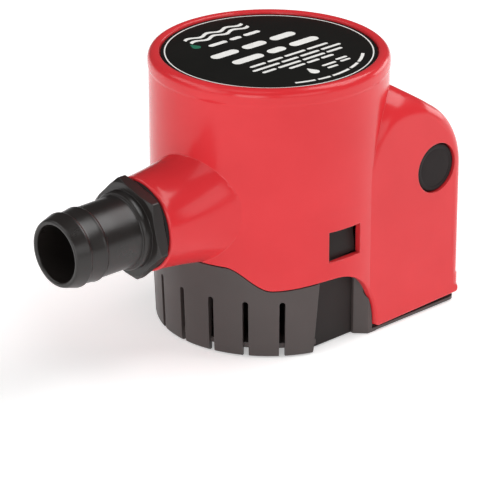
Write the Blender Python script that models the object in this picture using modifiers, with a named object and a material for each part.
"""Submersible bilge pump on a snap-off strainer base, modelled as separate pieces.

Metres, +Z up. The motor shaft stands on the Z axis, the strainer base stands on z = 0, the outlet
points to -X and the switch pod is on the +X side. The base stays on the hull; the pump lifts off it
once its two side latches are pressed in.
"""

import math

import bmesh
import bpy
from mathutils import Matrix, Vector

MM = 0.001
GAP = 0.3 * MM                 # clearance between pieces that touch
LARGE = 120 * MM               # reach of a cutter that goes right through
SKIN = 2.2 * MM                # wall of the moulded housing

# Housing
BODY_R = 40.0 * MM
BEAD_R = 40.3 * MM             # the rim stands a little proud of the body
BEAD_LOW_Z = 89.4 * MM
BODY_LOW_Z = 10.0 * MM         # below this only the pod is left of the housing
CROWN_Z = 95.0 * MM
LABEL_FLOOR_Z = 93.3 * MM
LABEL_R = 36.0 * MM
ROOF_Z = 91.0 * MM
CHAMBER_R = 27.4 * MM          # wet chamber round the motor capsule
CHAMBER_WALL = 1.8 * MM
CHAMBER_LOW_Z = 28.2 * MM

# Outlet
OUTLET_Z = 48.1 * MM
BOSS_R = 16.0 * MM
BOSS_END_X = -57.3 * MM
BOSS_ROOT_X = -23.0 * MM
FLARE_LEAST = 1.8 * MM         # the boss widens towards the body all round
FLARE_MORE = 6.0 * MM          # and this much more on the volute's side, to the front and above
FLARE_TOWARDS = math.radians(152.0)
FLARE_POWER = 3.5
FLARE_START = 2.0 * MM         # the boss is straight this far from its end
FLARE_BEND = 8.0 * MM          # and widens faster from this far before the body
FLARE_RISE = 0.25
DUCT_R = 14.6 * MM
PASSAGE_R = 9.5 * MM
SOCKET_R = 13.3 * MM
SOCKET_END_X = -41.5 * MM

# Switch pod
POD_HALF_Y = 38.6 * MM
POD_REAR_X = 55.0 * MM
POD_ARC_R = 28.0 * MM
POD_ARC_Z = 50.0 * MM
POD_SLOPE = math.radians(34.0)
POD_FRONT_X = 8.0 * MM
POD_LOW_Z = 2.3 * MM           # at the middle of the pod: its lower edge rises to the rear
POD_LOW_SLOPE = math.radians(1.5)
POD_EDGE_R = 5.0 * MM
POD_FOOT_EDGE_R = 0.8 * MM
HEEL_R = 3.0 * MM              # rounding of the rear's lower corner
HEEL_PROUD = 0.45 * MM         # a band round the rear's foot stands out by this much
HEEL_TOP_Z = 10.2 * MM
POD_SHOULDER_X = 38.0 * MM     # forward of this the pod's top edge is rounded more and more
POD_SHOULDER_GAIN = 0.25
POD_SHOULDER_POWER = 1.43

# Lower edge of the housing, as height against angle from the outlet
EDGE_OUTLET_Z = 32.0 * MM
EDGE_LOBE_Z = 24.5 * MM
EDGE_ARCH_Z = 26.2 * MM
EDGE_OUTLET_END = math.radians(26.0)
EDGE_LOBE_START = math.radians(49.0)
ARCH_CENTRE_X = -6.0 * MM
ARCH_HALF_X = 19.4 * MM
ARCH_FOOT_Z = 4.1 * MM
ARCH_CORNER_R = 2.2 * MM

# Latch windows, mirrored to both sides
WINDOW_X = (-9.0 * MM, 4.4 * MM)
WINDOW_Z = (32.6 * MM, 43.4 * MM)
CHANNEL_Y = 37.9 * MM          # outer face of the channel that the latch head slides up

# Test button in the pod's side
BUTTON_X = 41.2 * MM
BUTTON_Z = 52.3 * MM
BUTTON_R = 8.5 * MM
BUTTON_RECESS = 0.7 * MM

# Strainer base
BASE_WALL_R_LOW = 38.6 * MM
BASE_WALL_R_HIGH = 39.5 * MM
BASE_WALL_IN_R = 36.6 * MM
BASE_FLOOR_Z = (2.7 * MM, 4.5 * MM)
FLOOR_REAR_Z = (1.0 * MM, 4.1 * MM)
SLOT_COUNT = 7
SLOT_STEP = math.radians(18.0)
SLOT_HALF_W = 1.0 * MM
SLOT_TOP_Z = 20.2 * MM
WALL_END_X = (-13.2 * MM, -11.6 * MM)   # the slotted wall's end leans
HULL_SCREW_R = 24.0 * MM
PANEL_Y = 33.0 * MM
PANEL_X = (-10.6 * MM, 7.2 * MM)
LIP_Y = 36.1 * MM
LIP_T = 1.8 * MM
FOOT_Z = (0.2 * MM, 1.3 * MM)
FOOT_Y = 37.5 * MM
FOOT_REAR_X = 53.8 * MM

# Motor and rotor
CAPSULE_R = 24.4 * MM
CAPSULE_WALL = 2.0 * MM
CAPSULE_LOW_Z = 41.0 * MM
CAN_R = 22.1 * MM
CAN_WALL = 1.2 * MM
CAN_Z = (44.6 * MM, 86.0 * MM)
SHAFT_R = 2.4 * MM
SHAFT_Z = (26.5 * MM, 89.0 * MM)
IMPELLER_R = 21.5 * MM
IMPELLER_Z = (30.2 * MM, 38.6 * MM)
INTAKE_Z = (25.4 * MM, 27.9 * MM)
EYE_R = 9.0 * MM
PLATE_SCREW_R = 25.0 * MM
PLATE_SCREW_ANGLES = (math.radians(60.0), math.radians(180.0), math.radians(300.0))

# EXACT leaves open edges where these bodies' many cuts meet
FINELY_CUT = {"housing", "strainer_base", "pod_foot", "floor_disc", "pilaster_front", "pilaster_back"}

ROUND = 64                     # steps of a large turned shape
INNER = 40                     # steps of a large shape inside the housing
FINE = 28                      # steps of a small one

COLOURS = {
    "red_plastic": ((0.72, 0.045, 0.05), 0.32, 0.0),
    "grey_plastic": ((0.105, 0.09, 0.086), 0.5, 0.0),
    "black_plastic": ((0.028, 0.026, 0.026), 0.42, 0.0),
    "label_black": ((0.014, 0.013, 0.012), 0.35, 0.0),
    "white_plastic": ((0.55, 0.55, 0.52), 0.45, 0.0),
    "rubber": ((0.02, 0.02, 0.02), 0.75, 0.0),
    "steel": ((0.52, 0.53, 0.54), 0.32, 1.0),
    "stainless": ((0.62, 0.62, 0.6), 0.25, 1.0),
    "laminate": ((0.3, 0.3, 0.31), 0.5, 0.7),
    "copper": ((0.72, 0.32, 0.16), 0.35, 1.0),
    "brass": ((0.62, 0.45, 0.18), 0.35, 1.0),
    "ferrite": ((0.06, 0.06, 0.065), 0.7, 0.0),
    "carbon": ((0.03, 0.03, 0.032), 0.6, 0.2),
    "circuit_board": ((0.02, 0.13, 0.05), 0.45, 0.0),
}


# ---------------------------------------------------------------- scene helpers

def clear_scene():
    for obj in list(bpy.data.objects):
        bpy.data.objects.remove(obj)


def collection(name):
    made = bpy.data.collections.new(name)
    bpy.context.scene.collection.children.link(made)
    return made


def material(name):
    colour, roughness, metallic = COLOURS[name]
    made = bpy.data.materials.get(name) or bpy.data.materials.new(name)
    made.use_nodes = True
    shader = made.node_tree.nodes["Principled BSDF"]
    shader.inputs["Base Color"].default_value = (*colour, 1.0)
    shader.inputs["Roughness"].default_value = roughness
    shader.inputs["Metallic"].default_value = metallic
    return made


def add_object(name, mesh, look=None, at=(0.0, 0.0, 0.0), turn=None):
    """An object in the pump's collection, or a cutter where it has no look."""
    made = bpy.data.objects.new(name, mesh)
    (PARTS if look else CUTTERS).objects.link(made)
    if look:
        mesh.materials.append(material(look))
    else:
        made.hide_render = True
        made.display_type = "WIRE"
    made.matrix_world = Matrix.Translation(at) @ (turn or Matrix())
    return made


def mesh_from(name, bm, smooth=None):
    bmesh.ops.recalc_face_normals(bm, faces=bm.faces)
    mesh = bpy.data.meshes.new(name)
    bm.to_mesh(mesh)
    bm.free()
    if smooth is not None:
        mesh.shade_smooth()
        mesh.set_sharp_from_angle(angle=smooth)
    return mesh


def box(name, low, high, look=None, bevel=0.0):
    bm = bmesh.new()
    bmesh.ops.create_cube(bm, size=1.0)
    size = Vector(high) - Vector(low)
    bmesh.ops.scale(bm, vec=size, verts=bm.verts)
    bmesh.ops.translate(bm, vec=(Vector(low) + Vector(high)) / 2, verts=bm.verts)
    made = add_object(name, mesh_from(name, bm), look)
    if bevel:
        add_bevel(made, bevel)
    return made


def add_bevel(obj, width, segments=2, angle=math.radians(40.0)):
    bevel = obj.modifiers.new("edges", "BEVEL")
    bevel.width = width
    bevel.segments = segments
    bevel.limit_method = "ANGLE"
    bevel.angle_limit = angle


# an outline of (x, z) pairs drawn along Y
UPRIGHT = Matrix(((1, 0, 0, 0), (0, 0, -1, 0), (0, 1, 0, 0), (0, 0, 0, 1)))
ALONG_X = Matrix.Rotation(math.radians(90.0), 4, "Y")     # local +Z becomes +X
ALONG_Y = Matrix.Rotation(math.radians(-90.0), 4, "X")    # local +Z becomes +Y


def turned(name, profile, look=None, at=(0.0, 0.0, 0.0), turn=None, closed=False, steps=ROUND):
    """A profile of (radius, height) pairs, down its outer side, turned about local Z."""
    bm = bmesh.new()
    verts = [bm.verts.new((r, 0.0, z)) for r, z in profile]
    for a, b in zip(verts, verts[1:]):
        bm.edges.new((a, b))
    if closed:
        bm.edges.new((verts[-1], verts[0]))
    mesh = bpy.data.meshes.new(name)
    bm.to_mesh(mesh)
    bm.free()
    made = add_object(name, mesh, look, at, turn)
    screw = made.modifiers.new("turn", "SCREW")
    screw.steps = steps
    screw.render_steps = steps
    screw.use_merge_vertices = True
    screw.merge_threshold = 1e-6
    screw.use_smooth_shade = True
    return made


def ring(name, r_in, r_out, z_low, z_high, look=None, at=(0.0, 0.0, 0.0), turn=None, steps=ROUND):
    loop = [(r_in, z_high), (r_out, z_high), (r_out, z_low), (r_in, z_low)]
    return turned(name, loop, look, at, turn, closed=True, steps=steps)


def rod(name, r, z_low, z_high, look=None, at=(0.0, 0.0, 0.0), turn=None, steps=FINE):
    outline = [(0.0, z_high), (r, z_high), (r, z_low), (0.0, z_low)]
    return turned(name, outline, look, at, turn, steps=steps)


def prism(name, outline, z_low, z_high, look=None, at=(0.0, 0.0, 0.0), turn=None, smooth=None):
    """A flat outline of (x, y) pairs, drawn up from z_low to z_high."""
    bm = bmesh.new()
    floor = bm.faces.new([bm.verts.new((x, y, z_low)) for x, y in outline])
    drawn = bmesh.ops.extrude_face_region(bm, geom=[floor])
    top = [v for v in drawn["geom"] if isinstance(v, bmesh.types.BMVert)]
    bmesh.ops.translate(bm, vec=(0.0, 0.0, z_high - z_low), verts=top)
    return add_object(name, mesh_from(name, bm, smooth), look, at, turn)


def join(obj, other):
    boolean(obj, other, "UNION")


def cut(obj, other):
    boolean(obj, other, "DIFFERENCE")


def boolean(obj, other, operation):
    step = obj.modifiers.new(f"{operation.lower()} {other.name}", "BOOLEAN")
    step.operation = operation
    step.object = other
    step.solver = "MANIFOLD" if obj.name in FINELY_CUT else "EXACT"


def arc(centre, radius, start, end, steps):
    for i in range(steps + 1):
        a = start + (end - start) * i / steps
        yield (centre[0] + radius * math.cos(a), centre[1] + radius * math.sin(a))


def smoothstep(t):
    t = min(max(t, 0.0), 1.0)
    return t * t * (3.0 - 2.0 * t)


# ---------------------------------------------------------------- housing

def edge_curve(inset=0.0):
    """Half of the housing's lower edge, as (angle from the outlet, height), drawn in by the inset."""
    lobe_end = math.acos(-ARCH_CENTRE_X / BODY_R)
    points = []
    steps = 26
    for i in range(steps):
        angle = lobe_end * i / steps
        down = smoothstep((angle - EDGE_OUTLET_END) / (EDGE_LOBE_START - EDGE_OUTLET_END))
        rise = smoothstep((angle - EDGE_LOBE_START) / (lobe_end - EDGE_LOBE_START))
        z = EDGE_OUTLET_Z + (EDGE_LOBE_Z - EDGE_OUTLET_Z) * down
        points.append((angle, z + (EDGE_ARCH_Z - EDGE_LOBE_Z) * rise - inset))
    steps = 14
    for i in range(steps + 1):
        across = math.pi / 2 * i / steps
        x = ARCH_CENTRE_X + (ARCH_HALF_X - inset) * math.sin(across)
        z = ARCH_FOOT_Z + (EDGE_ARCH_Z - ARCH_FOOT_Z - inset) * math.cos(across)
        points.append((math.acos(-x / BODY_R), z))
    last_x = ARCH_CENTRE_X + ARCH_HALF_X
    if inset:
        past = (last_x - inset + 0.05 * MM, last_x + 3.6 * MM)
        return points + [(math.acos(-x / BODY_R), FOOT_Z[1]) for x in past]
    steps = 4
    for i in range(1, steps + 1):
        turn = math.pi / 2 * i / steps
        x = last_x + ARCH_CORNER_R * (1.0 - math.cos(turn))
        points.append((math.acos(-x / BODY_R), ARCH_FOOT_Z - ARCH_CORNER_R * math.sin(turn)))
    return points


def edge_fan(name, inset=0.0, far_z=-10 * MM):
    """A ring wedge whose wavy face follows the lower edge, above or below it, as a cutter."""
    r_in, r_out = 30 * MM, 70 * MM
    half = edge_curve(inset)
    bm = bmesh.new()
    sections = []
    for angle, wavy in [(-a, z) for a, z in reversed(half[1:])] + half:
        across = Vector((-math.cos(angle), -math.sin(angle)))
        corners = ((r_in, far_z), (r_out, far_z), (r_out, wavy), (r_in, wavy))
        sections.append([bm.verts.new((across.x * r, across.y * r, z)) for r, z in corners])
    for a, b in zip(sections, sections[1:]):
        for i in range(4):
            j = (i + 1) % 4
            bm.faces.new((a[i], a[j], b[j], b[i]))
    bm.faces.new(sections[0])
    bm.faces.new(sections[-1])
    return add_object(name, mesh_from(name, bm))


def pod_profile(inset):
    """Stations round the pod's side profile: (x, z, inward x, inward z, edge radius)."""
    slope_end = (
        POD_REAR_X - POD_ARC_R * (1.0 - math.sin(POD_SLOPE)),
        POD_ARC_Z + POD_ARC_R * math.cos(POD_SLOPE),
    )
    points = []
    front_rise = math.tan(POD_SLOPE)
    for x in (POD_FRONT_X, 14 * MM, 20 * MM, 25 * MM, 30 * MM, 35 * MM):
        straight = slope_end[1] + (slope_end[0] - x) * front_rise
        rounding = 0.018 * max(0.0, 30 * MM - x) ** 2 / MM
        lean = POD_SLOPE * smoothstep((x - POD_FRONT_X) / (27 * MM))
        points.append((x, straight - rounding, lean))
    steps = 9
    for i in range(steps + 1):
        lean = POD_SLOPE + (math.pi / 2 - POD_SLOPE) * i / steps
        points.append((
            POD_REAR_X - POD_ARC_R * (1.0 - math.sin(lean)),
            POD_ARC_Z + POD_ARC_R * math.cos(lean),
            lean,
        ))
    points += [(POD_REAR_X, -8 * MM, math.pi / 2)] if inset else heel_profile()
    stations = []
    for x, z, lean in points:
        inward = (-math.sin(lean), -math.cos(lean))
        forward = max(0.0, POD_SHOULDER_X - x) / MM if lean < math.pi / 2 else 0.0
        radius = POD_EDGE_R + POD_SHOULDER_GAIN * forward**POD_SHOULDER_POWER * MM
        radius += (POD_FOOT_EDGE_R - POD_EDGE_R) * smoothstep(lean / (math.pi / 2) - 1.0)
        stations.append((x + inward[0] * inset, z + inward[1] * inset, *inward, radius - inset))
    return stations


def heel_profile():
    """The foot of the pod's rear, round its lower corner and forward along its underside."""
    middle_x = (POD_FRONT_X + POD_REAR_X) / 2
    rear_x = POD_REAR_X + HEEL_PROUD
    end_lean = math.pi - POD_LOW_SLOPE
    touch_x = rear_x - HEEL_R * (1.0 - math.sin(end_lean))
    centre_z = POD_LOW_Z + (touch_x - middle_x) * math.tan(POD_LOW_SLOPE) - HEEL_R * math.cos(end_lean)
    points = [(POD_REAR_X, HEEL_TOP_Z, math.pi / 2)]
    steps = 5
    for i in range(steps + 1):
        lean = math.pi / 2 + (end_lean - math.pi / 2) * i / steps
        x = rear_x - HEEL_R * (1.0 - math.sin(lean))
        points.append((x, centre_z + HEEL_R * math.cos(lean), lean))
    points.insert(1, (rear_x, HEEL_TOP_Z - 0.6 * MM, math.pi / 2))
    front_z = POD_LOW_Z + (POD_FRONT_X - middle_x) * math.tan(POD_LOW_SLOPE)
    points.append((POD_FRONT_X, front_z, end_lean))
    return points


def pod_solid(name, inset, look=None):
    """The pod's outer form, or its cavity where inset is the skin: rounded along its top and rear."""
    half = POD_HALF_Y - inset
    steps = 5
    bm = bmesh.new()
    rows = []
    for x, z, in_x, in_z, radius in pod_profile(inset):
        row = []
        for i in range(steps + 1):
            a = math.pi / 2 * i / steps
            depth = radius * (1.0 - math.sin(a))
            y = half - radius * (1.0 - math.cos(a))
            row.append((x + in_x * depth, y, z + in_z * depth))
        row += [(px, -py, pz) for px, py, pz in reversed(row)]
        rows.append([bm.verts.new(p) for p in row])
    for a, b in zip(rows, rows[1:]):
        for i in range(len(a) - 1):
            bm.faces.new((a[i], a[i + 1], b[i + 1], b[i]))
    floor_z = rows[-1][0].co.z
    hubs = [bm.verts.new((POD_FRONT_X, side * half, floor_z)) for side in (1.0, -1.0)]
    for hub, column in zip(hubs, (0, -1)):
        for a, b in zip(rows, rows[1:]):
            bm.faces.new((hub, a[column], b[column]))
    bm.faces.new([hubs[1], hubs[0], *rows[0]])
    bm.faces.new([hubs[0], hubs[1], *reversed(rows[-1])])
    return add_object(name, mesh_from(name, bm), look)


def body_profile():
    """Outer side of the housing: label recess, rounded rim with its bead, and the drafted body."""
    rim = [(0.0, LABEL_FLOOR_Z), (LABEL_R + GAP, LABEL_FLOOR_Z), (LABEL_R + GAP, CROWN_Z - 0.7 * MM)]
    crown_x = LABEL_R + GAP + 1.6 * MM
    rim += [(LABEL_R + GAP + 0.5 * MM, CROWN_Z - 0.15 * MM), (crown_x, CROWN_Z)]
    drop = 2.9 * MM
    for i in range(1, 6):
        a = math.pi / 2 * i / 5
        rim.append((
            crown_x + (BEAD_R - crown_x) * math.sin(a),
            CROWN_Z - drop * (1.0 - math.cos(a)),
        ))
    rim += [(BEAD_R, BEAD_LOW_Z + 0.5 * MM), (BODY_R - 0.05 * MM, BEAD_LOW_Z)]
    rim += [(BODY_R, 20 * MM), (BODY_R, BODY_LOW_Z), (0.0, BODY_LOW_Z)]
    return rim


def boss_form():
    """The outlet boss, which flares out onto the body, as rings from its end inwards."""
    around = 48
    blend = 6
    bm = bmesh.new()
    rings = []
    for step in range(blend + 4):
        ring_points = []
        for i in range(around):
            a = 2.0 * math.pi * i / around
            ring_points.append(bm.verts.new(boss_point(a, step, blend)))
        rings.append(ring_points)
    for p, q in zip(rings, rings[1:]):
        for i in range(around):
            j = (i + 1) % around
            bm.faces.new((p[i], p[j], q[j], q[i]))
    bm.faces.new(rings[0])
    bm.faces.new(rings[-1])
    return add_object("boss_form", mesh_from("boss_form", bm))


def boss_point(a, step, blend):
    """A point of the boss at angle a about its axis: two rings at its end, the flare, then its root."""
    out_y, out_z = math.cos(a), math.sin(a)
    lip = 0.7 * MM
    if step < 2:
        r = BOSS_R - lip * (1 - step)
        return (BOSS_END_X + lip * step, r * out_y, OUTLET_Z + r * out_z)
    reach = FLARE_LEAST + FLARE_MORE * ((1.0 + math.cos(a - FLARE_TOWARDS)) / 2.0) ** FLARE_POWER
    outer = BOSS_R + reach
    end_x = -math.sqrt(BODY_R**2 - (outer * out_y) ** 2)
    if step == blend + 3:
        return (BOSS_ROOT_X, outer * out_y, OUTLET_Z + outer * out_z)
    t = (step - 2) / blend
    x = (1 - t) ** 2 * (BOSS_END_X + FLARE_START) + 2 * t * (1 - t) * (end_x - FLARE_BEND) + t * t * end_x
    r = (1 - t) ** 2 * BOSS_R + 2 * t * (1 - t) * (BOSS_R + FLARE_RISE * reach) + t * t * outer
    return (x, r * out_y, OUTLET_Z + r * out_z)


TOWARDS_OUTLET = Matrix.Rotation(math.radians(-90.0), 4, "Y")   # local +Z becomes -X


def make_housing():
    at_outlet = (0.0, 0.0, OUTLET_Z)
    housing = turned("housing", body_profile(), "red_plastic")
    join(housing, pod_solid("pod_form", 0.0))
    join(housing, boss_form())

    inner_r = CHAMBER_R + CHAMBER_WALL
    low = -20 * MM
    hollow = rod("skin_hollow", BODY_R - SKIN, low, ROOF_Z - 0.5 * MM, steps=ROUND)
    join(hollow, pod_solid("pod_hollow", SKIN))
    cut(hollow, rod("chamber_keep", inner_r, CHAMBER_LOW_Z, LARGE, steps=ROUND))
    cut(housing, hollow)

    duct_end = -BOSS_END_X - 3 * MM
    join(housing, rod("duct_form", DUCT_R, 20 * MM, duct_end, at=at_outlet, turn=TOWARDS_OUTLET))
    cut(housing, rod("chamber", CHAMBER_R, low, ROOF_Z, steps=ROUND))
    mouth = -BOSS_END_X + 5 * MM
    bore = [(0.0, mouth), (SOCKET_R, mouth), (SOCKET_R, -SOCKET_END_X), (PASSAGE_R, -SOCKET_END_X)]
    bore += [(PASSAGE_R, 10 * MM), (0.0, 10 * MM)]
    cut(housing, turned("outlet_bore", bore, at=at_outlet, turn=TOWARDS_OUTLET))

    for side, word in ((-1.0, "front"), (1.0, "back")):
        cut(housing, side_box(f"window_{word}", WINDOW_X, side, 32 * MM, 50 * MM, WINDOW_Z))
        slack = (WINDOW_X[0] - GAP, WINDOW_X[1] + GAP)
        cut(housing, side_box(f"channel_{word}", slack, side, 32 * MM, CHANNEL_Y, (0.0, WINDOW_Z[0] + GAP)))
    hole = rod("button_hole", BUTTON_R + GAP, -45 * MM, -32 * MM, at=(BUTTON_X, 0.0, BUTTON_Z), turn=ALONG_Y)
    cut(housing, hole)
    cut(housing, rod("gland_hole", GLAND_STEM_R + GAP, 45 * MM, 70 * MM, at=(0, 0, GLAND_Z), turn=ALONG_X))
    cut(housing, edge_fan("edge_cut"))
    housing.data.shade_smooth()


def side_box(name, xs, side, y_near, y_far, zs):
    """A box on the front (-1) or back (+1) side, between two distances from the XZ plane."""
    ys = sorted((side * y_near, side * y_far))
    return box(name, (xs[0], ys[0], zs[0]), (xs[1], ys[1], zs[1]))


def make_label():
    low = LABEL_FLOOR_Z + GAP
    high = 94.0 * MM
    turned("label_disc", [(0.0, high), (LABEL_R, high), (LABEL_R, low), (0.0, low)], "label_black")


# ---------------------------------------------------------------- hose adapter

HEX_FLATS = 30.0 * MM
HEX_X = (-63.0 * MM, -58.9 * MM)
HEX_TURN = math.radians(14.2)
ADAPTER_END_X = -92.5 * MM
THREAD_PITCH = 2.3 * MM


def adapter_profile():
    """Outside of the hose adapter from its open end to its threaded end, then back up the bore."""
    outside = [(ADAPTER_END_X, 10.9), (ADAPTER_END_X + 0.5 * MM, 11.3), (-91.2 * MM, 11.55)]
    outside += [(-87.6 * MM, 12.55), (-87.2 * MM, 12.45), (-86.6 * MM, 11.9)]
    outside += [(-81.0 * MM, 12.55), (-80.6 * MM, 12.45), (-80.0 * MM, 12.0)]
    outside += [(-66.0 * MM, 12.1), (-65.8 * MM, 13.2), (-61.0 * MM, 13.4)]
    outside += [(-58.9 * MM, 13.0), (-57.0 * MM, 12.1)]
    crest = -56.4 * MM
    while crest < -44.0 * MM:
        outside += [(crest, 12.2), (crest + 1.1 * MM, 12.9)]
        crest += THREAD_PITCH
    outside += [(-43.3 * MM, 12.2), (-42.3 * MM, 11.8)]
    inside = [(-42.3 * MM, 9.7), (-91.9 * MM, 9.5), (ADAPTER_END_X, 9.9)]
    return [(r * MM, -x) for x, r in outside + inside]


def make_adapter():
    at_outlet = (0.0, 0.0, OUTLET_Z)
    profile = adapter_profile()
    adapter = turned(
        "hose_adapter", profile, "black_plastic", at_outlet, TOWARDS_OUTLET, closed=True, steps=INNER
    )
    corner_r = HEX_FLATS / 2 / math.cos(math.pi / 6)
    outline = [
        (corner_r * math.cos(HEX_TURN + math.pi / 3 * i), corner_r * math.sin(HEX_TURN + math.pi / 3 * i))
        for i in range(6)
    ]
    hexagon = prism("adapter_hex", outline, -HEX_X[1], -HEX_X[0], at=at_outlet, turn=TOWARDS_OUTLET)
    add_bevel(hexagon, 0.5 * MM)
    cut(hexagon, rod("hex_core", 12.6 * MM, 50 * MM, 70 * MM, at=at_outlet, turn=TOWARDS_OUTLET))
    join(adapter, hexagon)
    gasket_r = (13.5 * MM, 15.2 * MM)
    ring("adapter_gasket", *gasket_r, 57.6 * MM, 58.6 * MM, "rubber", at_outlet, TOWARDS_OUTLET, INNER)


# ---------------------------------------------------------------- motor capsule and rotor

def make_motor():
    wall = CAPSULE_R - CAPSULE_WALL
    flange_r = CHAMBER_R - GAP
    floor = CAPSULE_LOW_Z
    seal_r = 6.2 * MM
    top = ROOF_Z - GAP
    capsule = [(wall, top), (flange_r, top), (flange_r, top - 1.6 * MM)]
    capsule += [(flange_r - 1.9 * MM, top - 1.6 * MM)]
    capsule += [(flange_r - 1.9 * MM, top - 3.8 * MM), (flange_r, top - 3.8 * MM), (flange_r, top - 5.2 * MM)]
    capsule += [(CAPSULE_R, top - 6.6 * MM), (CAPSULE_R, floor + 1.5 * MM), (CAPSULE_R - 1.5 * MM, floor)]
    capsule += [(seal_r, floor), (seal_r, floor + 3.0 * MM), (wall, floor + 3.0 * MM)]
    turned("motor_capsule", capsule, "white_plastic", closed=True, steps=INNER)
    o_ring = list(arc((flange_r - 0.95 * MM, top - 2.7 * MM), 0.75 * MM, 0.0, -2 * math.pi * 7 / 8, 7))
    turned("capsule_o_ring", o_ring, "rubber", closed=True, steps=INNER)
    seal = [(SHAFT_R + 0.5 * MM, 43.8 * MM), (seal_r - GAP, 43.8 * MM), (seal_r - GAP, 41.1 * MM)]
    seal += [(4.6 * MM, 41.1 * MM), (4.4 * MM, 42.6 * MM), (SHAFT_R + GAP, 42.0 * MM)]
    turned("shaft_seal", seal, "rubber", closed=True, steps=FINE)

    low, high = CAN_Z
    can = [(CAN_R - CAN_WALL, high), (CAN_R, high), (CAN_R, low + 1.2 * MM), (CAN_R - 1.2 * MM, low)]
    can += [(6.0 * MM, low), (6.0 * MM, low + CAN_WALL), (CAN_R - CAN_WALL, low + CAN_WALL)]
    turned("motor_can", can, "steel", closed=True, steps=INNER)
    ring("lower_bearing", SHAFT_R + GAP, 5.7 * MM, low + GAP, low + 4.4 * MM, "brass", steps=FINE)
    ring("upper_bearing", SHAFT_R + GAP, 5.2 * MM, high - 0.4 * MM, high + 2.6 * MM, "brass", steps=FINE)
    make_magnets()
    make_end_bell()
    make_brushes()
    make_rotor()


MAGNET_Z = (50.5 * MM, 74.5 * MM)
MAGNET_R = (17.6 * MM, 20.5 * MM)
CORE_R = 17.0 * MM


def make_magnets():
    half = math.radians(64.0)
    for name, middle in (("magnet_front", -math.pi / 2), ("magnet_back", math.pi / 2)):
        outline = list(arc((0.0, 0.0), MAGNET_R[1], middle - half, middle + half, 16))
        outline += list(arc((0.0, 0.0), MAGNET_R[0], middle + half, middle - half, 16))
        prism(name, outline, *MAGNET_Z, "ferrite", smooth=math.radians(30.0))


BRUSH_Z = 79.6 * MM


def make_end_bell():
    """The plastic end bell that closes the can, with the channels that the two brushes slide in."""
    high = CAN_Z[1]
    r = CAN_R - CAN_WALL - GAP
    bell = [(5.5 * MM, high + 2.4 * MM), (8.0 * MM, high + 2.4 * MM), (8.0 * MM, high + 0.2 * MM)]
    bell += [(r, high + 0.2 * MM), (r, high - 2.4 * MM), (5.5 * MM, high - 2.4 * MM)]
    end_bell = turned("end_bell", bell, "black_plastic", closed=True, steps=INNER)
    for side, word in ((-1.0, "left"), (1.0, "right")):
        xs = sorted((side * 8.6 * MM, side * 19.0 * MM))
        name = f"brush_box_{word}"
        shell = box(name, (xs[0], -4.4 * MM, 75.9 * MM), (xs[1], 4.4 * MM, high - 2.0 * MM))
        join(end_bell, shell)
        inner = sorted((side * 5.0 * MM, side * 17.6 * MM))
        low_corner = (inner[0], -2.8 * MM, BRUSH_Z - 2.4 * MM)
        high_corner = (inner[1], 2.8 * MM, BRUSH_Z + 2.4 * MM)
        cut(end_bell, box(f"{name}_hollow", low_corner, high_corner))


def make_brushes():
    for side, word in ((-1.0, "left"), (1.0, "right")):
        xs = sorted((side * (COMMUTATOR_R + GAP), side * 12.4 * MM))
        low = (xs[0], -2.5 * MM, BRUSH_Z - 2.1 * MM)
        box(f"brush_{word}", low, (xs[1], 2.5 * MM, BRUSH_Z + 2.1 * MM), "carbon", bevel=0.3 * MM)
        start = (side * 12.9 * MM, 0.0, BRUSH_Z)
        coil(f"brush_spring_{word}", start, (side, 0.0, 0.0), 4.1 * MM, 1.55 * MM, 0.22 * MM, 4)


def coil(name, start, direction, length, radius, wire_r, turns):
    """A compression spring: a POLY spline swept round its axis, its end turns closed flat."""
    per_turn = 9
    count = turns * per_turn
    along = Vector(direction).normalized()
    across = along.orthogonal().normalized()
    other = along.cross(across)
    curve = bpy.data.curves.new(name, "CURVE")
    curve.dimensions = "3D"
    curve.bevel_depth = wire_r
    curve.bevel_resolution = 1
    curve.use_fill_caps = True
    spline = curve.splines.new("POLY")
    spline.points.add(count)
    for i, point in enumerate(spline.points):
        turn = 2.0 * math.pi * i / per_turn
        at = Vector(start) + along * (wire_r + (length - 2.0 * wire_r) * i / count)
        at += (across * math.cos(turn) + other * math.sin(turn)) * radius
        point.co = (*at, 1.0)
    made = bpy.data.objects.new(name, curve)
    PARTS.objects.link(made)
    curve.materials.append(material("stainless"))
    return made


COMMUTATOR_R = 5.6 * MM
CORE_Z = (52.0 * MM, 73.0 * MM)
SLOTS = 8


def lamination_outline():
    """One stamping of the armature: a round core with slots that open at its rim."""
    slot_r = 9.5 * MM
    mouth = math.radians(4.0)
    tooth = math.pi / SLOTS
    outline = []
    for i in range(SLOTS):
        middle = 2.0 * math.pi * i / SLOTS
        outline += list(arc((0.0, 0.0), CORE_R, middle - tooth + mouth, middle + tooth - mouth, 5))
        edge = middle + tooth
        for r, spread in ((14.8 * MM, mouth), (14.2 * MM, 3.2 * mouth), (slot_r, 2.2 * mouth)):
            outline.append((r * math.cos(edge - spread), r * math.sin(edge - spread)))
        for r, spread in ((slot_r, 2.2 * mouth), (14.2 * MM, 3.2 * mouth), (14.8 * MM, mouth)):
            outline.append((r * math.cos(edge + spread), r * math.sin(edge + spread)))
    return outline


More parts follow.
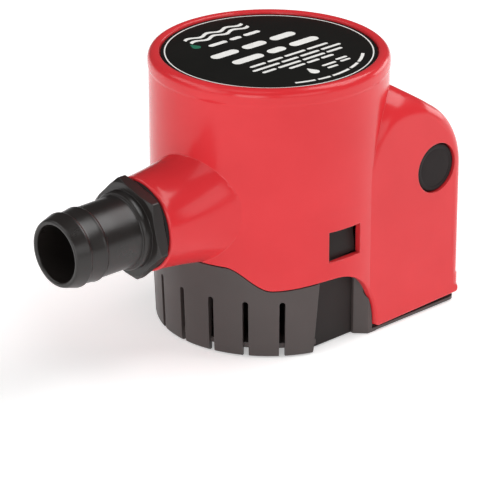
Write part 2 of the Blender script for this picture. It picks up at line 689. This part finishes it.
def make_rotor():
    shaft = [(0.0, SHAFT_Z[1]), (SHAFT_R - 0.4 * MM, SHAFT_Z[1]), (SHAFT_R, SHAFT_Z[1] - 0.4 * MM)]
    shaft += [(SHAFT_R, SHAFT_Z[0] + 4.3 * MM), (SHAFT_R - 0.7 * MM, SHAFT_Z[0] + 3.9 * MM)]
    shaft += [(SHAFT_R - 0.7 * MM, SHAFT_Z[0]), (0.0, SHAFT_Z[0])]
    turned("motor_shaft", shaft, "stainless", steps=FINE)
    core = prism("armature_core", lamination_outline(), *CORE_Z, "laminate", smooth=math.radians(30.0))
    cut(core, rod("core_bore", SHAFT_R + GAP, 40 * MM, 80 * MM))
    for name, z, way in (("winding_lower", CORE_Z[0] - GAP, -1.0), ("winding_upper", CORE_Z[1] + GAP, 1.0)):
        height = 2.4 * MM if way > 0 else 3.2 * MM
        loop = [(5.2 * MM, 0.0), (5.6 * MM, height * 0.7), (8.5 * MM, height), (13.0 * MM, height * 0.85)]
        loop += [(15.0 * MM, height * 0.4), (15.0 * MM, 0.0)]
        loop = [(r, z + way * h) for r, h in loop]
        turned(name, loop if way > 0 else loop[::-1], "copper", closed=True, steps=INNER)
    ring("commutator", SHAFT_R + GAP, COMMUTATOR_R, 76.0 * MM, 83.2 * MM, "copper", steps=FINE)
    make_impeller()


def make_impeller():
    low, high = IMPELLER_Z
    hub_r = 5.6 * MM
    hub = [(SHAFT_R + GAP, high + 1.2 * MM), (hub_r, high + 1.2 * MM), (hub_r, high), (IMPELLER_R, high)]
    hub += [(IMPELLER_R, high - 1.6 * MM), (hub_r + 1.6 * MM, high - 1.6 * MM)]
    hub += [(hub_r - 0.4 * MM, low + 0.4 * MM)]
    hub += [(hub_r - 1.2 * MM, low), (SHAFT_R + GAP, low)]
    impeller = turned("impeller", hub, "black_plastic", closed=True, steps=INNER)
    blades = 6
    for i in range(blades):
        blade = prism(f"impeller_blade_{i + 1}", blade_outline(), low, high - 1.0 * MM)
        blade.matrix_world = Matrix.Rotation(2.0 * math.pi * i / blades, 4, "Z")
        join(impeller, blade)
    screw = [(0.0, low - 0.3 * MM), (3.6 * MM, low - 0.3 * MM), (3.6 * MM, low - 2.2 * MM)]
    screw += [(2.9 * MM, low - 2.8 * MM), (0.0, low - 2.8 * MM)]
    nut = turned("impeller_nut", screw, "stainless", steps=FINE)
    cut(nut, rod("nut_bore", SHAFT_R - 0.4 * MM, 20 * MM, low + 1.0 * MM))


def blade_outline():
    """A backward-curved blade, as an arc of even thickness from hub to rim."""
    sweep = math.radians(46.0)
    steps = 5
    thickness = 0.8 * MM
    start = 4.6 * MM
    sides = []
    for side in (-1.0, 1.0):
        line = []
        for i in range(steps + 1):
            t = i / steps
            r = start + (IMPELLER_R - 0.4 * MM - start) * t
            a = sweep * t * t + side * thickness / r
            line.append((r * math.cos(a), r * math.sin(a)))
        sides.append(line)
    return sides[0] + sides[1][::-1]


def make_intake_plate():
    low, high = INTAKE_Z
    outer = CHAMBER_R + CHAMBER_WALL
    plate = [(EYE_R, high), (EYE_R + 1.0 * MM, high + 0.6 * MM), (EYE_R + 2.0 * MM, high)]
    plate += [(outer, high), (outer, low), (EYE_R + 2.0 * MM, low)]
    plate += [(EYE_R + 2.0 * MM, low - 4.0 * MM), (EYE_R + 0.8 * MM, low - 4.0 * MM), (EYE_R, low)]
    made = turned("intake_plate", plate, "grey_plastic", closed=True, steps=INNER)
    for i, angle in enumerate(PLATE_SCREW_ANGLES):
        at = (PLATE_SCREW_R * math.cos(angle), PLATE_SCREW_R * math.sin(angle), 0.0)
        cut(made, rod(f"plate_hole_{i + 1}", 1.8 * MM, 20 * MM, 32 * MM, at=at, steps=12))
        screw = [(0.0, high + 5.5 * MM), (1.0 * MM, high + 5.2 * MM), (1.4 * MM, high + 4.0 * MM)]
        screw += [(1.4 * MM, low - GAP), (3.0 * MM, low - GAP), (3.0 * MM, low - 1.2 * MM)]
        screw += [(2.2 * MM, low - 2.2 * MM), (0.0, low - 2.2 * MM)]
        turned(f"plate_screw_{i + 1}", screw, "stainless", at=at, steps=12)


# ---------------------------------------------------------------- switch pod

GLAND_Z = 38.0 * MM
GLAND_STEM_R = 5.2 * MM
TRAY_X = (33.0 * MM, 50.8 * MM)
TRAY_Y = (-30.6 * MM, -12.0 * MM)
TRAY_Z = (21.0 * MM, 57.5 * MM)
GUIDE_T = 1.4 * MM


def make_switch():
    """Switch tray with its board, level sensor plates, test button and the cable's gland."""
    front = TRAY_Y[0]
    high_corner = (TRAY_X[1], front + GUIDE_T, TRAY_Z[1])
    tray = box("switch_tray", (TRAY_X[0], front, TRAY_Z[0]), high_corner, "black_plastic")
    rear = box("tray_rear", (TRAY_X[1] - GUIDE_T, front, TRAY_Z[0]), (TRAY_X[1], TRAY_Y[1], TRAY_Z[1]))
    join(tray, rear)
    shelf = box("tray_shelf", (TRAY_X[0], front, TRAY_Z[0]), (TRAY_X[1], TRAY_Y[1], TRAY_Z[0] + GUIDE_T))
    join(tray, shelf)
    guide_r = 3.3 * MM
    at = (BUTTON_X, 0, BUTTON_Z)
    cut(tray, rod("guide_hole", guide_r, -40 * MM, -26 * MM, at=at, turn=ALONG_Y, steps=24))

    board_y = (-22.6 * MM, -21.0 * MM)
    low_x = TRAY_X[0] + 1.0 * MM
    high_x = TRAY_X[1] - GUIDE_T - GAP
    floor = TRAY_Z[0] + GUIDE_T + GAP
    high_z = TRAY_Z[1] - 1.0 * MM
    box("switch_board", (low_x, board_y[0], floor), (high_x, board_y[1], high_z), "circuit_board")
    micro_low = (BUTTON_X - 4.0 * MM, board_y[0] - GAP - 3.2 * MM, BUTTON_Z - 4.0 * MM)
    micro_high = (BUTTON_X + 4.0 * MM, board_y[0] - GAP, BUTTON_Z + 4.0 * MM)
    box("micro_switch", micro_low, micro_high, "black_plastic", 0.4 * MM)
    for name, z in (("sensor_plate_low", 26.0 * MM), ("sensor_plate_high", 38.0 * MM)):
        low = (36.0 * MM, board_y[1] + GAP, z)
        box(name, low, (47.0 * MM, board_y[1] + GAP + 0.8 * MM, z + 8.0 * MM), "brass", 0.3 * MM)
    make_button()
    make_gland()


BUTTON_FRONT_Y = -(POD_HALF_Y - BUTTON_RECESS)
BUTTON_FLANGE_Y = (-36.1 * MM, -35.0 * MM)
BUTTON_TIP_Y = -27.9 * MM


def make_button():
    """A round cap behind the pod's skin, kept in by its flange and pushed out by a spring."""
    rim = 0.7 * MM
    button = [(0.0, BUTTON_TIP_Y), (2.8 * MM, BUTTON_TIP_Y), (2.8 * MM, BUTTON_FLANGE_Y[1])]
    button += [(9.6 * MM, BUTTON_FLANGE_Y[1]), (9.6 * MM, BUTTON_FLANGE_Y[0]), (BUTTON_R, BUTTON_FLANGE_Y[0])]
    button += [(BUTTON_R, BUTTON_FRONT_Y + rim), (BUTTON_R - rim, BUTTON_FRONT_Y), (0.0, BUTTON_FRONT_Y)]
    at = (BUTTON_X, 0.0, BUTTON_Z)
    turned("test_button", button, "rubber", at=at, turn=ALONG_Y, steps=40)
    start = (BUTTON_X, BUTTON_FLANGE_Y[1] + GAP, BUTTON_Z)
    length = TRAY_Y[0] - BUTTON_FLANGE_Y[1] - 2.0 * GAP
    coil("button_spring", start, (0.0, 1.0, 0.0), length, 4.6 * MM, 0.3 * MM, 3)


def make_gland():
    """The sealed inlet for the two supply leads, in the pod's rear wall."""
    rear = POD_REAR_X
    skin_in = rear - SKIN
    lead_r = 2.6 * MM
    gland = [(lead_r, rear + 4.6 * MM), (4.2 * MM, rear + 4.6 * MM), (5.0 * MM, rear + 3.8 * MM)]
    gland += [(5.8 * MM, rear + 2.2 * MM), (8.0 * MM, rear + 1.9 * MM), (8.0 * MM, rear + GAP)]
    gland += [(GLAND_STEM_R, rear + GAP), (GLAND_STEM_R, skin_in - 3.6 * MM), (lead_r, skin_in - 3.6 * MM)]
    turned("cable_gland", gland, "rubber", at=(0, 0, GLAND_Z), turn=ALONG_X, closed=True, steps=FINE)
    corner_r = 8.2 * MM
    outline = list(arc((0.0, 0.0), corner_r, 0.0, 2.0 * math.pi * 5 / 6, 5))
    at = (0.0, 0.0, GLAND_Z)
    nut = prism("gland_nut", outline, skin_in - 3.3 * MM, skin_in - GAP, "black_plastic", at, ALONG_X)
    cut(nut, rod("gland_nut_bore", GLAND_STEM_R + GAP, 40 * MM, 60 * MM, at=at, turn=ALONG_X))


# ---------------------------------------------------------------- strainer base

def base_outline(y_side, front_x, rear_x):
    """Plan of the base under the pod: straight sides and a rounded rear."""
    corner = 3.6 * MM
    half = [(front_x, y_side)]
    half += list(arc((rear_x - corner, y_side - corner), corner, math.pi / 2, 0.0, 3))
    return [(x, -y) for x, y in half] + [(x, y) for x, y in reversed(half)]


def make_base():
    """One moulding: slotted front wall, floor, side pilasters, foot under the pod and its lip."""
    wall_top = 40 * MM
    low_r = BASE_WALL_R_LOW
    wall = [(BASE_WALL_IN_R, wall_top), (BASE_WALL_R_HIGH, wall_top), (BASE_WALL_R_HIGH, 26 * MM)]
    wall += [(low_r, 1.0 * MM), (low_r - 1.0 * MM, 0.0), (BASE_WALL_IN_R, 0.0)]
    base = turned("strainer_base", wall, "grey_plastic", closed=True)
    cut(base, edge_fan("base_top_cut", inset=0.4 * MM, far_z=60 * MM))
    end_low, end_high = WALL_END_X
    end = [(end_low - 0.5 * MM, -10 * MM), (LARGE, -10 * MM)]
    end += [(LARGE, 50 * MM), (end_high + 1.0 * MM, 50 * MM)]
    cut(base, prism("wall_end_cut", end, -LARGE, LARGE, turn=UPRIGHT))
    cut_slots(base)

    lip_rear = POD_REAR_X - SKIN - GAP
    tray = prism("pod_foot", base_outline(FOOT_Y, 11.4 * MM, FOOT_REAR_X), *FOOT_Z)
    join(tray, prism("pod_lip", base_outline(LIP_Y, 11.4 * MM, lip_rear), 0.8 * MM, 9.0 * MM))
    cut(tray, prism("lip_hollow", base_outline(LIP_Y - LIP_T, -5 * MM, lip_rear - LIP_T), -5 * MM, 60 * MM))
    floor = rod("floor_disc", BASE_WALL_IN_R + 0.6 * MM, *BASE_FLOOR_Z, steps=ROUND)
    rear_plan = base_outline(LIP_Y - 0.9 * MM, 12 * MM, lip_rear - 0.9 * MM)
    join(floor, prism("floor_rear", rear_plan, *FLOOR_REAR_Z))
    for side, word in ((-1.0, "front"), (1.0, "back")):
        bay_end = PANEL_X[1] + GAP
        for part, xs, y_near in (
            ("latch_bay", (PANEL_X[0] - 0.7 * MM, bay_end), PANEL_Y - 2.4 * MM),
            ("corner_bay", (bay_end - 1.0 * MM, 12.0 * MM), PANEL_Y + 0.6 * MM),
        ):
            cut(floor, side_box(f"{part}_{word}", xs, side, y_near, 50 * MM, (-5 * MM, 60 * MM)))
    join(base, floor)
    join(base, tray)
    for side, word in ((-1.0, "front"), (1.0, "back")):
        join(base, pilaster(word, side))
    join(base, rod("centre_pad", 11 * MM, 0.0, 3.0 * MM))
    add_screw_bosses(base)


def pilaster(word, side):
    """The post behind a latch: a chamfered face that fills the arch, and a taller core behind the skin."""
    low_x = PANEL_X[1] + GAP
    outer, inner = 37.5 * MM, 30.6 * MM
    chamfer = 3.6 * MM
    half = [(low_x, inner), (low_x, outer - chamfer), (low_x + chamfer, outer)]
    half += [(15.0 * MM, outer), (13.0 * MM, inner)]
    post = prism(f"pilaster_{word}", [(x, side * y) for x, y in half], 0.0, 30 * MM)
    cut(post, edge_fan(f"pilaster_cut_{word}", inset=0.4 * MM, far_z=60 * MM))
    core_y = 36.1 * MM
    core = [(low_x, inner), (low_x, outer - chamfer), (low_x + chamfer + core_y - outer, core_y)]
    core += [(15.0 * MM, core_y), (13.0 * MM, inner)]
    join(post, prism(f"pilaster_core_{word}", [(x, side * y) for x, y in core], 1.0 * MM, 26.5 * MM))
    return post


def cut_slots(base):
    for i in range(SLOT_COUNT):
        angle = math.pi + (i - (SLOT_COUNT - 1) / 2) * SLOT_STEP
        steps = 6
        outline = [(-SLOT_HALF_W, -5 * MM), (SLOT_HALF_W, -5 * MM)]
        outline += list(arc((0.0, SLOT_TOP_Z - SLOT_HALF_W), SLOT_HALF_W, 0.0, math.pi, steps))
        slot = prism(f"slot_{i + 1}", outline, 28 * MM, 60 * MM)
        stand = Matrix(((0, 0, 1, 0), (1, 0, 0, 0), (0, 1, 0, 0), (0, 0, 0, 1)))
        slot.matrix_world = Matrix.Rotation(angle, 4, "Z") @ stand
        cut(base, slot)


def add_screw_bosses(base):
    """Three countersunk holes that screw the base to the hull."""
    for i in range(3):
        angle = math.pi + 2.0 * math.pi * i / 3
        x, y = HULL_SCREW_R * math.cos(angle), HULL_SCREW_R * math.sin(angle)
        boss = rod(f"hull_boss_{i + 1}", 6.0 * MM, 0.0, 5.5 * MM, at=(x, y, 0.0), steps=20)
        join(base, boss)
        hole = [(0.0, 8 * MM), (5.0 * MM, 8 * MM), (5.0 * MM, 5.4 * MM), (2.3 * MM, 2.6 * MM)]
        hole += [(2.3 * MM, -2 * MM), (0.0, -2 * MM)]
        cut(base, turned(f"hull_hole_{i + 1}", hole, at=(x, y, 0.0), steps=16))


LATCH_LOW_Z = 0.3 * MM
HEAD_Y = (37.5 * MM, 36.2 * MM)
LATCH_BEND_Z = (26.5 * MM, 31.5 * MM)


def latch_outline():
    """Side view of a latch, as (distance from the XZ plane, height): arm, step out and wedge head."""
    z_low, z_high = WINDOW_Z[0] + GAP, WINDOW_Z[1] - 0.4 * MM
    arm_in = PANEL_Y - 2.0 * MM
    outline = [(PANEL_Y, LATCH_LOW_Z), (PANEL_Y, LATCH_BEND_Z[0]), (35.4 * MM, LATCH_BEND_Z[1])]
    outline += [(35.4 * MM, z_low), (HEAD_Y[0], z_low), (HEAD_Y[0], z_low + 1.6 * MM), (HEAD_Y[1], z_high)]
    outline += [(HEAD_Y[1] - 2.0 * MM, z_high), (33.4 * MM, LATCH_BEND_Z[1])]
    outline += [(arm_in, LATCH_BEND_Z[0] + 1.0 * MM), (arm_in, LATCH_LOW_Z)]
    return outline


def make_latches():
    for side, word in ((-1.0, "front"), (1.0, "back")):
        outline = [(side * y, z) for y, z in latch_outline()]
        stand = Matrix(((0, 0, 1, 0), (1, 0, 0, 0), (0, 1, 0, 0), (0, 0, 0, 1)))
        latch = prism(f"latch_{word}", outline, PANEL_X[0], PANEL_X[1], "grey_plastic", turn=stand)
        head = (WINDOW_X[0] + GAP, WINDOW_X[1] - GAP)
        for end, xs in (("left", (-20 * MM, head[0])), ("right", (head[1], 20 * MM))):
            trim = side_box(f"{word}_trim_{end}", xs, side, 20 * MM, 50 * MM, (25.0 * MM, 60 * MM))
            cut(latch, trim)


def main():
    make_housing()
    make_label()
    make_adapter()
    make_motor()
    make_intake_plate()
    make_switch()
    make_base()
    make_latches()


clear_scene()
PARTS = collection("bilge_pump")
CUTTERS = collection("cutters")
main()
